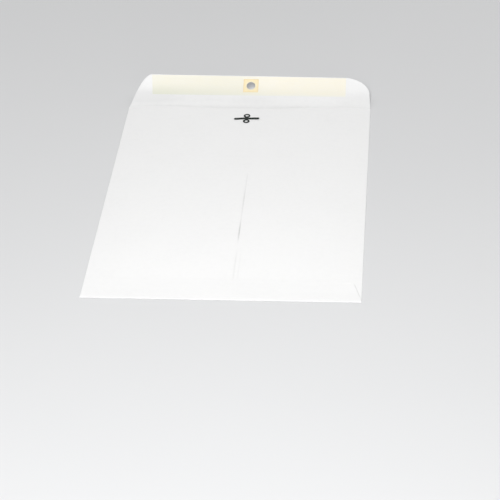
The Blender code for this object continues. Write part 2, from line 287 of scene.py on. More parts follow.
def flap_surface(x, s, lift):
    """Arc of paper at arc length s: its tilt grows evenly from the root tilt, more on the left than the
    right. Lift is measured along the arc's own normal from the outer face."""
    curl = (TIP_TILT - ROOT_TILT - TWIST * x / HALF_W) / FLAP_DEPTH
    turn = ROOT_TILT + curl * s
    y = FOLD_Y + ROOT_Y + (np.sin(turn) - math.sin(ROOT_TILT)) / curl - lift * np.sin(turn)
    z = ROOT_Z - PAPER / 2 + (math.cos(ROOT_TILT) - np.cos(turn)) / curl + lift * np.cos(turn)
    return np.stack([x + 0 * s, y, z], -1)


def flap_edge(s, side):
    """Distance of the flap's side from the middle: a straight taper to the tip, less a quarter ellipse for
    the corner."""
    taper, start, wide = FLAP_SIDES[side]
    share = np.clip((s - start) / (FLAP_DEPTH - start), 0.0, 1.0)
    return SIDE_X - taper * s / FLAP_DEPTH - wide * (1 - np.sqrt(1 - share ** 2))


def flap_across(x, s):
    """Columns at rest positions x, drawn in to the flap's outline; the straight middle keeps its width."""
    share = np.clip((np.abs(x) - STRAIGHT_HALF) / (SIDE_X - STRAIGHT_HALF), 0.0, 1.0)
    edge = np.where(x < 0, flap_edge(s, -1), flap_edge(s, 1))
    return np.sign(x) * (np.abs(x) + share * (edge - SIDE_X))


def cells(number):
    """The four corners of every cell in a grid of point numbers."""
    return np.stack([number[:-1, :-1], number[:-1, 1:], number[1:, 1:], number[1:, :-1]], -1)


def sheet_grid(outer, inner, flat, keep=None, rim=(0, 0, 0, 0)):
    """Points and faces of a sheet between two like grids. keep marks its cells: 1 paper, 0 cut out,
    -1 joined to another grid. rim says the same of what lies beyond the first row, last row, first column
    and last column."""
    rows, cols = outer.shape[:2]
    cell = np.ones((rows - 1, cols - 1), int) if keep is None else keep
    pad = np.zeros((rows + 1, cols + 1), int)
    pad[0], pad[-1], pad[:, 0], pad[:, -1] = rim
    pad[1:-1, 1:-1] = cell
    number = np.arange(rows * cols).reshape(rows, cols)
    top = cells(number)[cell == 1]
    upright = pad[1:-1, 1:] + pad[1:-1, :-1] == 1
    level = pad[1:, 1:-1] + pad[:-1, 1:-1] == 1
    ends = np.concatenate([np.stack([number[:-1], number[1:]], -1)[upright],
                           np.stack([number[:, :-1], number[:, 1:]], -1)[level]])
    below = rows * cols
    wall = np.stack([ends[:, 0], ends[:, 1], ends[:, 1] + below, ends[:, 0] + below], -1)
    points = np.concatenate([outer.reshape(-1, 3), inner.reshape(-1, 3)])
    faces = np.concatenate([top, top[:, ::-1] + below, wall])
    soft = np.arange(len(faces)) < 2 * len(top)
    side = np.concatenate([np.ones(below), np.zeros(below)])
    place = np.concatenate([np.tile(flat.reshape(-1, 2), (2, 1)), side[:, None]], 1)
    return points, faces, soft, place


def film(x, y, low, high):
    """A thin sheet over the grid x, y, between two heights."""
    flat = np.stack([x, y], -1)
    return sheet_grid(np.stack([x, y, high], -1), np.stack([x, y, low], -1), flat)


def tube_grid(points):
    """Faces of a closed profile carried along a path: rows follow the path, columns go round the profile."""
    rows, cols = points.shape[:2]
    faces = cells(np.arange(rows * cols).reshape(rows, cols)).reshape(-1, 4)
    return points.reshape(-1, 3), faces, np.ones(len(faces), bool), points.reshape(-1, 3)


def crisp_rims(mesh):
    """Mark the edges of every flat rim face as sharp, so that a sheet keeps its own normals up to its cut
    edge."""
    total = np.zeros(len(mesh.polygons), np.int32)
    soft = np.zeros(len(mesh.polygons), bool)
    edge = np.zeros(len(mesh.loops), np.int32)
    mesh.polygons.foreach_get("loop_total", total)
    mesh.polygons.foreach_get("use_smooth", soft)
    mesh.loops.foreach_get("edge_index", edge)
    sharp = np.zeros(len(mesh.edges), bool)
    sharp[edge[~np.repeat(soft, total)]] = True
    mesh.edges.foreach_set("use_edge_sharp", sharp)


def make_piece(name, grids, finish):
    """One object from several grids: equal points are welded, collapsed corners and the doubled walls between
    grids are dropped, and faces are turned outwards."""
    offset = np.cumsum([0] + [len(grid[0]) for grid in grids])
    points = np.concatenate([grid[0] for grid in grids])
    faces = np.concatenate([grid[1] + start for grid, start in zip(grids, offset)])
    soft = np.concatenate([grid[2] for grid in grids])
    place = np.concatenate([grid[3] for grid in grids])
    cell = np.round(points / WELD + WELD_SHIFT)
    _, first, same = np.unique(cell, axis=0, return_index=True, return_inverse=True)
    used, faces = np.unique(same.reshape(-1)[faces], return_inverse=True)
    faces = faces.reshape(-1, 4)
    points = points[first[used]]
    place = place[first[used]]
    real = np.stack([faces[:, k] != faces[:, k - 1] for k in range(4)], 1)
    _, group, times = np.unique(np.sort(faces, 1), axis=0, return_inverse=True, return_counts=True)
    whole = (real.sum(1) > 2) & (times[group.reshape(-1)] == 1)
    faces, real, soft = faces[whole], real[whole], soft[whole]
    mesh = bpy.data.meshes.new(name)
    mesh.vertices.add(len(points))
    mesh.vertices.foreach_set("co", points.ravel())
    mesh.loops.add(int(real.sum()))
    mesh.loops.foreach_set("vertex_index", faces[real])
    mesh.polygons.add(len(faces))
    mesh.polygons.foreach_set("loop_start", np.concatenate([[0], np.cumsum(real.sum(1))[:-1]]))
    mesh.polygons.foreach_set("use_smooth", soft)
    mesh.attributes.new("flat_place", "FLOAT_VECTOR", "POINT").data.foreach_set("vector", place.ravel())
    mesh.update(calc_edges=True)
    mesh.validate()
    bm = bmesh.new()
    bm.from_mesh(mesh)
    bmesh.ops.recalc_face_normals(bm, faces=bm.faces)
    bm.to_mesh(mesh)
    bm.free()
    crisp_rims(mesh)
    mesh.materials.append(finish)
    piece = bpy.data.objects.new(name, mesh)
    bpy.context.scene.collection.objects.link(piece)
    return piece


def block_rim(n, half):
    """Points round a square's rim, n to a side, first one repeated at the end; each as x and s from its
    middle."""
    run = np.linspace(-1.0, 1.0, n + 1)[:-1]
    one = np.ones(n)
    rim = np.concatenate([np.stack([run, -one], 1), np.stack([one, run], 1),
                          np.stack([-run, one], 1), np.stack([-one, -run], 1)])
    return half * np.concatenate([rim, rim[:1]])


def hole_block(n, half, rings):
    """Grid from the round hole out to a square block's rim: each row a share of the way from one to the
    other."""
    rim = block_rim(n, half)
    away = np.arctan2(rim[:, 1], rim[:, 0])
    circle = HOLE_R * np.stack([np.cos(away), np.sin(away)], 1)
    share = np.linspace(0.0, 1.0, rings + 1)[:, None, None]
    grid = circle + (rim - circle) * share
    grid[-1] = rim
    return grid[..., 0], grid[..., 1] + HOLE_S


def on_flap(x, s, low, thick, flat, **cut):
    """A sheet that follows the flap's arc, from a lift above its outer face."""
    return sheet_grid(flap_surface(x, s, low + thick), flap_surface(x, s, low), flat, **cut)


def front_and_flap():
    """Front panel, the score at the fold and the raised flap, as one sheet carried from the bottom fold to
    the tip. The score is a cubic that leaves the table level and reaches the flap's root at the root tilt.
    Rows lie closer over the three fine runs."""
    hole_cells = 12
    fine_body, fine_root, fine_tip = 0.0040, 0.0024, 0.0006
    hole_low, hole_high = HOLE_S - HOLE_BLOCK, HOLE_S + HOLE_BLOCK
    left = spread(-SIDE_X, (-STRAIGHT_HALF, 42), (-HOLE_BLOCK, 8))
    x = np.concatenate([left, np.linspace(-HOLE_BLOCK, HOLE_BLOCK, hole_cells + 1)[1:-1], -left[::-1]])
    body = spread(LIP_START_Y, (FOLD_Y - fine_body, 70), (FOLD_Y - ROOT_RUN, 6))
    turn = np.linspace(0.0, 1.0, 13)[1:]
    before = spread(0.0, (fine_root, 20), (GUM_LOW_S, 14), (hole_low, 8))[1:]
    beyond = spread(hole_low, (hole_high, hole_cells), (FLAP_DEPTH - fine_tip, 9), (FLAP_DEPTH, 3))[1:]
    reach = np.concatenate([before, beyond])

    width = ROOT_RUN + ROOT_Y
    start_share = 2 * turn ** 3 - 3 * turn ** 2 + 1
    start_slope = turn ** 3 - 2 * turn ** 2 + turn
    end_slope = turn ** 3 - turn ** 2
    y_mid = start_share * (FOLD_Y - ROOT_RUN) + start_slope * width
    y_mid = y_mid + (1 - start_share) * (FOLD_Y + ROOT_Y) + end_slope * width * math.cos(ROOT_TILT)
    z_mid = start_share * PAPER / 2 + (1 - start_share) * ROOT_Z + end_slope * width * math.sin(ROOT_TILT)
    tilt = ROOT_TILT * smooth(turn, 0.0, 1.0)

    def layer(lift):
        """One face of the sheet, at a lift from its outer face."""
        grid_x, grid_y = np.meshgrid(x, body)
        base = np.stack([grid_x, grid_y, np.full_like(grid_x, lift)], -1)
        grid_x, along_y = np.meshgrid(x, y_mid - (lift - PAPER / 2) * np.sin(tilt))
        _, along_z = np.meshgrid(x, z_mid + (lift - PAPER / 2) * np.cos(tilt))
        score = np.stack([grid_x, along_y, along_z], -1)
        grid_x, grid_s = np.meshgrid(x, reach)
        return np.concatenate([base, score, flap_surface(flap_across(grid_x, grid_s), grid_s, lift)])

    run = np.concatenate([body, FOLD_Y - ROOT_RUN + width * turn, FOLD_Y + ROOT_Y + reach])
    flat = np.stack(np.meshgrid(x, run), -1)
    row = len(body) + len(turn) + len(before) - 1
    column = len(left) - 1
    keep = np.ones((len(run) - 1, len(x) - 1), int)
    keep[row:row + hole_cells, column:column + hole_cells] = -1
    hole_x, hole_s = hole_block(hole_cells, HOLE_BLOCK, 5)
    block_flat = np.stack([hole_x, FOLD_Y + ROOT_Y + hole_s], -1)
    return [sheet_grid(layer(PAPER), layer(0.0), flat, keep),
            on_flap(hole_x, hole_s, 0.0, PAPER, block_flat, rim=(0, -1, -1, -1))]


def back_sheet(side, lift):
    """One back panel with its side fold. The section starts on the table side, turns half a circle round the
    fold and runs to the seam edge; every section point is carried from the bottom edge to the throat.
    The free edge of a lifted panel is pressed on to the panel below, and stands open as bells along the
    seam. Columns lie closer over the two fine runs."""
    fine_fold, fine_edge = 0.004, 0.003
    turn = np.linspace(0.0, np.pi, 15)
    wide = spread(SIDE_X, (SIDE_X - fine_fold, 8), (LAP_RUN, 34), (fine_edge - SEAM_X, 40), (-SEAM_X, 15))[1:]
    share = spread(0.0, (0.10, 22), (0.90, 84), (0.984, 20), (1.0, 12))
    grid_x, grid_v = np.meshgrid(np.concatenate([np.full(len(turn), SIDE_X), wide]), share)
    y = BACK_START_Y + (FOLD_Y - LIP_START_Y) * grid_v - throat(grid_x) * grid_v ** THROAT_REACH
    inner_z = back_height(side * grid_x, y, lift)
    if lift:
        from_edge = grid_x + SEAM_X
        inner_z = inner_z - (lift - PAPER - PRESS_GAP) * (1 - smooth(from_edge, *PRESS_RUN))
        inner_z = inner_z + SEAM_OPEN * bells(y, SEAM_BELLS) * np.exp(-np.abs(from_edge) / SEAM_OPEN_REACH)

    def layer(radius, rise):
        """One face of the sheet: its radius round the side fold and its rise above the inner face."""
        layer_x = grid_x.copy()
        layer_z = inner_z + rise
        layer_x[:, :len(turn)] = SIDE_X + radius * np.sin(turn)
        layer_z[:, :len(turn)] = SIDE_FOLD_R - radius * np.cos(turn)
        return np.stack([side * layer_x, y, layer_z], -1)

    along = np.concatenate([SIDE_X + SIDE_FOLD_R * (np.pi - turn), wide])
    flat = np.stack([side * along + 0 * grid_v, y], -1)
    return [sheet_grid(layer(SIDE_FOLD_R, PAPER), layer(SIDE_FOLD_IN, 0.0), flat)]


def settling(x, y):
    """Way from the bottom flap's level at its fold to where it lies on the gummed back panels, draped over
    the step at the seam: a smooth step over a short run from the fold."""
    left = 1 - smooth(-x, BOW_FLAT, LAP_RUN)
    right = 1 - smooth(x, SEAM_X, SEAM_X + DRAPE_RUN)
    level = BACK_Z + PAPER + SEAM_STEP * np.where(x < SEAM_X, left, right) + GLUE
    return (level - BOTTOM_FLAP_Z) * smooth(y, LIP_START_Y, LIP_START_Y + SETTLE_RUN)


def bottom_sheet():
    """Bottom fold and flap: a half circle round the bottom edge, then flat over both back panels.
    The sides slant in to the top edge and end in small round corners; the right one stands a little open."""
    turn = np.linspace(0.0, np.pi, 17)
    corner_y = BOTTOM_TOP_Y - BOTTOM_CORNER
    rise = spread(LIP_START_Y, (corner_y, 30), (BOTTOM_TOP_Y, 12))[1:]
    u = spread(-1.0, (-0.9, 16), (0.9, 60), (1.0, 16))
    slant = (HALF_W - BOTTOM_NARROW) * np.clip((rise - LIP_START_Y) / (BOTTOM_TOP_Y - LIP_START_Y), 0, 1)
    share = np.clip((rise - corner_y) / BOTTOM_CORNER, 0.0, 1.0)
    edge = HALF_W - slant - BOTTOM_CORNER_WIDE * (1 - np.sqrt(1 - share ** 2))
    grid_u, grid_half = np.meshgrid(u, np.concatenate([np.full(len(turn), HALF_W), edge]))
    x = grid_u * grid_half

    def layer(radius, height):
        """One face of the sheet: its radius round the bottom fold and its height beyond it."""
        y = np.concatenate([LIP_START_Y - radius * np.sin(turn), rise])
        z = np.concatenate([BOTTOM_FOLD_R - radius * np.cos(turn), np.full(len(rise), height)])
        grid_y = np.repeat(y[:, None], len(u), 1)
        lift = smooth(grid_y, CORNER_OPEN_Y, BOTTOM_TOP_Y) * np.exp(-(grid_half - x) / CORNER_OPEN_REACH)
        settle = settling(x, grid_y)
        settle[:len(turn)] = 0.0
        return np.stack([x, grid_y, z[:, None] + CORNER_OPEN * lift + settle], -1)

    run = np.concatenate([LIP_START_Y - BOTTOM_FOLD_R * (np.pi - turn), rise])
    flat = np.stack([x, 0 * x + run[:, None]], -1)
    outer = layer(BOTTOM_FOLD_R, BOTTOM_FLAP_Z + PAPER)
    inner = layer(BOTTOM_FOLD_R - PAPER, BOTTOM_FLAP_Z)
    return [sheet_grid(outer, inner, flat)]


def gum_band():
    """Thin band of gum on the flap's inner face, its lower edge a little aslant and its left end leaning,
    with a square left clear for the patch."""
    room = PATCH_HALF + PATCH_ROOM
    left_cells, patch_cells, right_cells = 44, 8, 42
    low_rows, patch_rows, high_rows = 8, 18, 5
    x = spread(GUM_LEFT, (-room, left_cells), (room, patch_cells), (GUM_RIGHT, right_cells))
    s = spread(GUM_LOW_S, (HOLE_S - room, low_rows), (HOLE_S + room, patch_rows), (GUM_HIGH_S, high_rows))
    keep = np.ones((len(s) - 1, len(x) - 1), int)
    keep[low_rows:low_rows + patch_rows, left_cells:left_cells + patch_cells] = 0
    x, s = np.meshgrid(x, s)
    lean = -GUM_LEAN * (s - HOLE_S) / GUM_HALF * smooth(-x, room, -GUM_LEFT)
    slant = (GUM_SLANT - GUM_SLANT_CHANGE * x / GUM_RIGHT) * (GUM_HIGH_S - s) / (GUM_HIGH_S - GUM_LOW_S)
    return [on_flap(x + lean, s + slant, PAPER + FILM_GAP, FILM, np.stack([x, s], -1), keep=keep)]


def hole_patch():
    """Square of stock round the hole, gummed to the flap's inner face."""
    x, s = hole_block(14, PATCH_HALF, 7)
    return [on_flap(x, s, PAPER + FILM_GAP, PATCH_PAPER, np.stack([x, s], -1), rim=(0, 0, -1, -1))]


def seam_film():
    """Gum between the two back panels, on the lower panel's outer face."""
    x, y = np.meshgrid(np.linspace(-SEAM_GUM_HALF, SEAM_GUM_HALF, 9), np.linspace(*SEAM_GUM_Y, 90))
    low = back_height(x, y, 0.0) + PAPER + FILM_GAP
    return [film(x, y, low, low + FILM)]


def bottom_film():
    """Gum under the bottom flap, within the space between it and the back panels."""
    x, y = np.meshgrid(np.linspace(*BOTTOM_GUM_X, 60), np.linspace(*BOTTOM_GUM_Y, 9))
    rest = BOTTOM_FLAP_Z + settling(x, y)
    low, high = [rest - depth for depth in BOTTOM_GUM_DEPTH]
    return [film(x, y, low, high)]


def clasp_base():
    """Two eyelets joined at a waist. A closed profile goes over a rolled lip, along the flange and its round
    edge, back under it, down the barrel and round the clinched foot; it is carried round each eyelet, and the
    flange's reach follows the outline: a circle, the waist's straight sides, then the middle line where the
    halves meet."""
    away = np.linspace(0.0, 2 * np.pi, 97)
    off = np.abs((away - 1.5 * np.pi + np.pi) % (2 * np.pi) - np.pi)
    meet = math.atan2(WAIST_HALF, RING_PITCH / 2)
    leave = math.asin(WAIST_HALF / RING_R)
    reach = np.where(off < meet, RING_PITCH / 2 / np.cos(np.minimum(off, meet)),
                     np.where(off < leave, WAIST_HALF / np.sin(np.maximum(off, 1e-3)), RING_R))
    soft_edge = np.where(off < meet, 0.0, FLANGE_SOFT)
    arc = np.linspace(np.pi, 0.0, 10)
    roll_r = ROLL_R + ROLL_HALF * np.cos(arc)
    roll_z = CLASP_Z + ROLL_FOOT + ROLL_RISE * np.sin(arc)
    tread = np.linspace(0.08, 0.92, 6)
    bend = np.linspace(0.5 * np.pi, -0.5 * np.pi, 9)
    foot = np.linspace(0.5 * np.pi, -0.5 * np.pi, 7)
    foot_z = (CLINCH_TOP + CLINCH_LOW) / 2
    foot_half = (CLINCH_TOP - CLINCH_LOW) / 2

    def whole(value):
        """The same stretch of the profile all the way round."""
        return np.repeat(np.asarray(value)[None, :], len(away), 0)

    radius = np.concatenate([whole(roll_r),
                             roll_r[-1] + (reach[:, None] - roll_r[-1]) * tread,
                             reach[:, None] - soft_edge[:, None] * (1 - np.cos(bend)),
                             BARREL_R + (reach[:, None] - BARREL_R) * tread[::-1] ** 1.2,
                             whole([BARREL_R, BARREL_R, CLINCH_R - CLINCH_FLAT]),
                             whole(CLINCH_R - CLINCH_SOFT * (1 - np.cos(foot))),
                             whole([RING_HOLE_R, RING_HOLE_R])], 1)
    height = np.concatenate([whole(roll_z),
                             whole(CLASP_Z + METAL + FLANGE_DOME * (1 - tread ** 2)),
                             whole(CLASP_Z + METAL / 2 * (1 + np.sin(bend))),
                             whole(0 * tread + CLASP_Z),
                             whole([CLASP_Z, CLINCH_TOP, CLINCH_TOP]),
                             whole(foot_z + foot_half * np.sin(foot)),
                             whole([CLINCH_LOW, CLASP_Z + BORE_TOP])], 1)
    radius = np.concatenate([radius, radius[:, :1]], 1)
    height = np.concatenate([height, height[:, :1]], 1)
    x = radius * np.cos(away)[:, None]
    y = RING_PITCH / 2 + radius * np.sin(away)[:, None]
    return [tube_grid(np.stack([way * x, CLASP_Y + way * y, height], -1)) for way in (1, -1)]


def prong(side, sway):
    """Flat bent strip. A rounded section with a slight crown is carried from the fold on top of the waist,
    down to the paper and out to a half-round tip; sway is how far the tip has strayed along the envelope."""
    centre = PRONG_REACH - PRONG_HALF
    tip = np.linspace(0.0, 0.5 * np.pi, 12)
    body = np.concatenate([[PRONG_ROOT], np.linspace(*PRONG_BEND, 18),
                           np.linspace(PRONG_FLAT, centre, 12)[:-1]])
    run = np.concatenate([[PRONG_ROOT], body, centre + PRONG_HALF * np.sin(tip)])
    half = PRONG_HALF * np.concatenate([[0.0, 0.93], np.ones(len(body) - 1), np.cos(tip)])
    thin = 0.45 + 0.55 * np.cos(tip) ** 0.5
    thin[-1] = 0.0
    thick = np.concatenate([[0.0], np.ones(len(body)), thin])
    around = np.linspace(0.0, 2 * np.pi, 29)
    wide = np.sign(np.cos(around)) * np.abs(np.cos(around)) ** 0.45
    deep = np.sign(np.sin(around)) * np.abs(np.sin(around)) ** 0.55
    level = CLASP_Z + METAL / 2 + PRONG_LIFT * (1 - smooth(run, *PRONG_DROP))
    level = level + sum(rise * smooth(run, start, end) for rise, start, end in PRONG_RISES)
    z = level[:, None] + thick[:, None] * (METAL / 2 * deep + PRONG_CREST * (1 - wide ** 2))
    drift = sway * smooth(run, PRONG_SWAY_START, PRONG_REACH)
    y = CLASP_Y + half[:, None] * wide + drift[:, None]
    x = np.repeat(side * run[:, None], len(around), 1)
    return [tube_grid(np.stack([x, y, z], -1))]


# Finishes

class Value:
    """A number that varies over a surface; arithmetic on it adds Math nodes."""

    def __init__(self, finish, socket):
        self.finish = finish
        self.socket = socket

    def maths(self, operation, a, b=0.0):
        """What a Math node makes of one or two numbers."""
        made = self.finish.node("ShaderNodeMath", {"operation": operation}, {0: a, 1: b})
        return Value(self.finish, made.outputs[0])

    def larger(self, other):
        """The larger of two numbers."""
        return self.maths("MAXIMUM", self, other)

    def __add__(self, other):
        return self.maths("ADD", self, other)

    def __sub__(self, other):
        return self.maths("SUBTRACT", self, other)

    def __rsub__(self, other):
        return self.maths("SUBTRACT", other, self)

    def __mul__(self, other):
        return self.maths("MULTIPLY", self, other)

    def __pow__(self, other):
        return self.maths("POWER", self, other)

    def __abs__(self):
        return self.maths("ABSOLUTE", self)

    __radd__ = __add__
    __rmul__ = __mul__


class Finish:
    """A material, or the studio's surroundings, under construction."""

    def __init__(self, name, owners=bpy.data.materials):
        self.material = owners.new(name)
        self.material.use_nodes = True
        self.tree = self.material.node_tree
        self.output, self.shader = sorted(self.tree.nodes, key=lambda made: "OUTPUT" not in made.type)

    def node(self, kind, settings=None, sockets=None):
        """A node of the given type: its settings first, then the values or links of its sockets."""
        made = self.tree.nodes.new(kind)
        for key, value in (settings or {}).items():
            if key == "stops":
                self.set_stops(made.color_ramp.elements, value)
            else:
                setattr(made, key, value)
        self.fill(made, sockets or {})
        return made

    def set_stops(self, elements, stops):
        """Give a new ramp its stops in order, each a place and a colour."""
        while len(elements) < len(stops):
            elements.new(1.0)
        for element, (at, colour) in zip(elements, stops):
            element.position = at
            element.color = (*colour, 1.0)

    def fill(self, made, sockets):
        """Link or set each named socket of a node."""
        for key, value in sockets.items():
            socket = made.inputs[key]
            if isinstance(value, Value):
                self.tree.links.new(value.socket, socket)
            elif isinstance(value, bpy.types.NodeSocket):
                self.tree.links.new(value, socket)
            else:
                socket.default_value = value

    def place(self):
        """The point's place on the flat sheet, in metres, kept with the surface when it bends."""
        return self.node("ShaderNodeAttribute", {"attribute_name": "flat_place"}).outputs["Vector"]

    def here(self):
        """The point's place in the part's own frame."""
        return self.node("ShaderNodeTexCoord").outputs["Object"]

    def parts(self, vector):
        """The three numbers of a vector."""
        split = self.node("ShaderNodeSeparateXYZ", None, {0: vector})
        return [Value(self, socket) for socket in split.outputs]

    def scaled(self, vector, scale):
        """A vector whose numbers are scaled one by one, which draws a pattern out."""
        return self.node("ShaderNodeMapping", None, {"Vector": vector, "Scale": scale}).outputs[0]

    def noise(self, vector, scale, detail, rough, distortion=0.0):
        """Cloudy pattern between 0 and 1; scale is how many clouds lie along a metre."""
        made = self.node("ShaderNodeTexNoise", None, {"Vector": vector, "Scale": scale, "Detail": detail,
                                                      "Roughness": rough, "Distortion": distortion})
        return Value(self, made.outputs[0])

    def step(self, value, low, high):
        """Smooth step of a value: 0 below low, 1 above high."""
        made = self.node("ShaderNodeMapRange", {"interpolation_type": "SMOOTHSTEP"},
                         {"Value": value, "From Min": low, "From Max": high})
        return Value(self, made.outputs[0])

    def fade(self, value, low, high):
        """Smooth step downwards: 1 below low, 0 above high."""
        return 1 - self.step(value, low, high)

    def window(self, value, rise, fall):
        """1 between the rise and the fall, 0 outside them; each is a pair of values that it lies between."""
        return self.step(value, *rise) * self.fade(value, *fall)

    def bell(self, value, middle, reach):
        """1 at the middle, falling smoothly to 0 at the reach on both sides."""
        return self.fade(abs(value - middle), 0.0, reach)

    def mix(self, share, a, b):
        """Colour a where share is 0, colour b where it is 1."""
        made = self.node("ShaderNodeMix", {"data_type": "RGBA", "clamp_factor": True}, {0: share, 6: a, 7: b})
        return made.outputs[2]

    def ramp(self, share, low, middle, high):
        """Colour that passes through three, at shares 0, a half and 1."""
        stops = ((0.0, low), (0.5, middle), (1.0, high))
        return self.node("ShaderNodeValToRGB", {"stops": stops}, {0: share}).outputs[0]

    def bump(self, height, strength):
        """Normal of a surface with this relief, in metres."""
        made = self.node("ShaderNodeBump", None, {"Height": height, "Distance": 1.0, "Strength": strength})
        return made.outputs[0]

    def done(self, **sockets):
        """Fill the shader's own sockets and give the finished material."""
        self.fill(self.shader, {key.replace("_", " "): value for key, value in sockets.items()})
        return self.material

    def backdrop(self, share, kind):
        """Show the backdrop's own tone where share is 1, to the camera and in polished metal, and leave the
        light alone."""
        rays = self.node("ShaderNodeLightPath").outputs
        shown = sum(Value(self, rays["Is " + ray + " Ray"]) for ray in ("Camera", "Glossy", "Transmission"))
        tone = self.node(kind, None, {"Color": BACKDROP})
        both = self.node("ShaderNodeMixShader", None,
                         {0: share * shown, 1: self.shader.outputs[0], 2: tone.outputs[0]})
        self.tree.links.new(both.outputs[0], self.output.inputs["Surface"])


def distance(x, y):
    """Root of the sum of two squares."""
    return (x * x + y * y) ** 0.5


def wove_paper(name, extra):
    """White wove paper: cloudy formation, short fibres, a fine felt grain and soft pressure marks.
    extra(finish, x, y) gives (tone, height in metres, darkening for dirt and painted shade) for what is
    particular to one sheet; on some sheets the tone also carries painted shade and painted light."""
    f = Finish(name)
    flat = f.place()
    x, y = f.parts(flat)[:2]
    cloud = f.noise(flat, 210.0, 4.0, 0.62)
    patchy = f.noise(flat, 26.0, 2.0, 0.5)
    fibre = f.noise(f.scaled(flat, (1.0, 3.4, 1.0)), 1500.0, 3.0, 0.65, 0.6)
    cross = f.noise(f.scaled(flat, (3.1, 1.0, 1.0)), 1300.0, 3.0, 0.65, 0.9)
    felt = f.noise(flat, 3600.0, 2.0, 0.55)
    handled = f.noise(flat, 42.0, 2.0, 0.45, 0.3)
    worn = f.step(abs(x), 0.1255, 0.1272)
    speck = f.step(f.noise(flat, 780.0, 1.0, 0.4), 0.735, 0.80)
    # The extra tone and darkening carry painted shade and painted light on some sheets, besides dirt
    more_tone, more_height, soiling_and_shade = extra(f, x, y)
    tone = 0.70 * (cloud - 0.5) + 0.36 * (patchy - 0.5) + 0.46 * (fibre - 0.5) + 0.38 * (cross - 0.5)
    share = 0.5 + 0.5 * (tone + more_tone + 0.25 * worn - 0.35 * speck)
    paper = f.ramp(share, (0.800, 0.800, 0.798), (0.876, 0.876, 0.873), (0.912, 0.912, 0.912))
    # Dirt and painted shade both pull the paper towards this darker tone
    colour = f.mix(soiling_and_shade, paper, (0.520, 0.520, 0.512, 1.0))
    rough = 0.80 + 0.16 * (cloud - 0.5) - 0.12 * worn
    height = 0.000018 * felt + 0.000026 * (fibre + cross) + 0.00011 * handled + more_height
    return f.done(Base_Color=colour, Roughness=rough, Normal=f.bump(height, 0.85),
                  Specular_IOR_Level=0.20, Sheen_Weight=0.03, Sheen_Roughness=0.6)


def seam_painted_shadows_and_marks(f, x, y):
    """A line of painted shadow where the seam's free edge stands open, shallow pressed lines further down
    with painted shade along them, a slanted line of painted shadow beside the bottom flap's end, and dents
    round the clasp's eyelets."""
    uneven = 0.6 + 0.8 * f.noise(f.scaled(f.place(), (0.0, 1.0, 1.0)), 160.0, 2.0, 0.6)
    # Painted shadow along the seam's open free edge, strongest over these stretches
    stretch = 0.16 * f.window(y, (-0.086, -0.074), (0.026, 0.036))
    stretch = stretch + 0.50 * f.bell(y, -0.0615, 0.0190) + 0.20 * f.bell(y, -0.0125, 0.0240)
    gap_shadow = stretch * f.bell(x, 0.0094, 0.0011) * uneven
    # Painted shade along pressed lines beside the seam, which also sink a little in relief
    lines = f.bell(x, 0.0095, 0.0016) + 0.5 * f.bell(x, 0.0134, 0.0013)
    pressed_shade_lines = f.window(y, (-0.138, -0.129), (-0.106, -0.086)) * lines * uneven
    # Painted shadow: a slanted line beside the bottom flap's end
    beside = x + BOTTOM_SLOPE * (y - BOTTOM_Y) - HALF_W
    slant = f.bell(beside, 0.0006, 0.0012) * f.window(y, (-0.164, -0.155), (-0.142, -0.136)) * uneven
    dent = sum(f.fade(distance(x, y - (CLASP_Y + way * RING_PITCH / 2)), 0.0036, 0.0056) for way in (1, -1))
    rub = f.step(f.noise(f.scaled(f.place(), (1.0, 0.35, 1.0)), 95.0, 2.0, 0.5), 0.52, 0.80)
    # The third value darkens the paper with the painted shadows and painted shade
    return -0.10 * dent - 0.06 * rub, -0.00005 * pressed_shade_lines - 0.00010 * dent, gap_shadow + 0.15 * pressed_shade_lines + 0.32 * slant


def flap_painted_shading_and_marks(f, x, y):
    """The score at the flap's fold, a groove that is also darkened with painted shade; an uneven line of
    painted shade along the fold that dies out towards the ends; and a band of painted shade across the flap's
    inner face above the fold, deeper on the left and below the hole. The flap's ends carry painted shade near
    the fold, and its right corner is paler with painted light."""
    up = y - FOLD_Y
    # Painted shade: the score's groove is darkened in colour as well as in relief
    score = f.fade(abs(up - 0.0003), 0.0003, 0.0012)
    uneven = f.noise(f.scaled(f.place(), (1.0, 0.0, 0.0)), 30.0, 2.0, 0.5)
    # Painted shade: an uneven darker line along the fold, fading towards the ends
    painted_shade = f.window(up, (-0.0030, -0.0006), (0.0012, 0.0060)) * f.fade(abs(x), 0.080, 0.115)
    painted_shade = painted_shade * (0.35 + 0.65 * f.step(uneven, 0.35, 0.60))
    # Painted shade: a band across the flap above the fold, weighted darker on the left
    band = f.window(up, (0.0040, 0.0130), (0.0190, 0.0300))
    deep = 0.16 + 0.36 * f.fade(x, -0.060, 0.050) + 0.42 * f.fade(x, -0.108, -0.060)
    # Painted shade below the hole
    below = f.bell(x, 0.0040, 0.0320) * f.bell(up, 0.0110, 0.0100)
    # Painted shade at the flap's ends near the fold
    ends = f.step(abs(x), 0.080, 0.108) * f.window(up, (-0.0010, 0.0010), (0.0150, 0.0270))
    # Painted light: the flap's right corner is paler
    corner = f.step(x, 0.090, 0.108) * f.step(up, 0.0200, 0.0330)
    handled = f.bell(up, 0.024, 0.012) * f.step(abs(x), 0.112, 0.126)
    # Painted light at the right corner; painted shade in the score, along the fold, in the band, below the
    # hole and at the ends
    tone = 0.30 * corner - 0.16 * score - 0.70 * painted_shade - deep * band - 0.36 * below - 0.40 * ends
    return tone, -0.00008 * score, 0.03 * handled


def bottom_marks(f, x, y):
    """A faint press mark along the glued edge of the bottom flap, and a rubbed line round its fold."""
    edge = f.step(y, BOTTOM_TOP_Y - 0.0040, BOTTOM_TOP_Y - 0.0006)
    rub = f.fade(y, BOTTOM_Y - 0.0010, BOTTOM_Y + 0.0020)
    return 0.08 * edge, 0.00002 * edge, 0.04 * rub


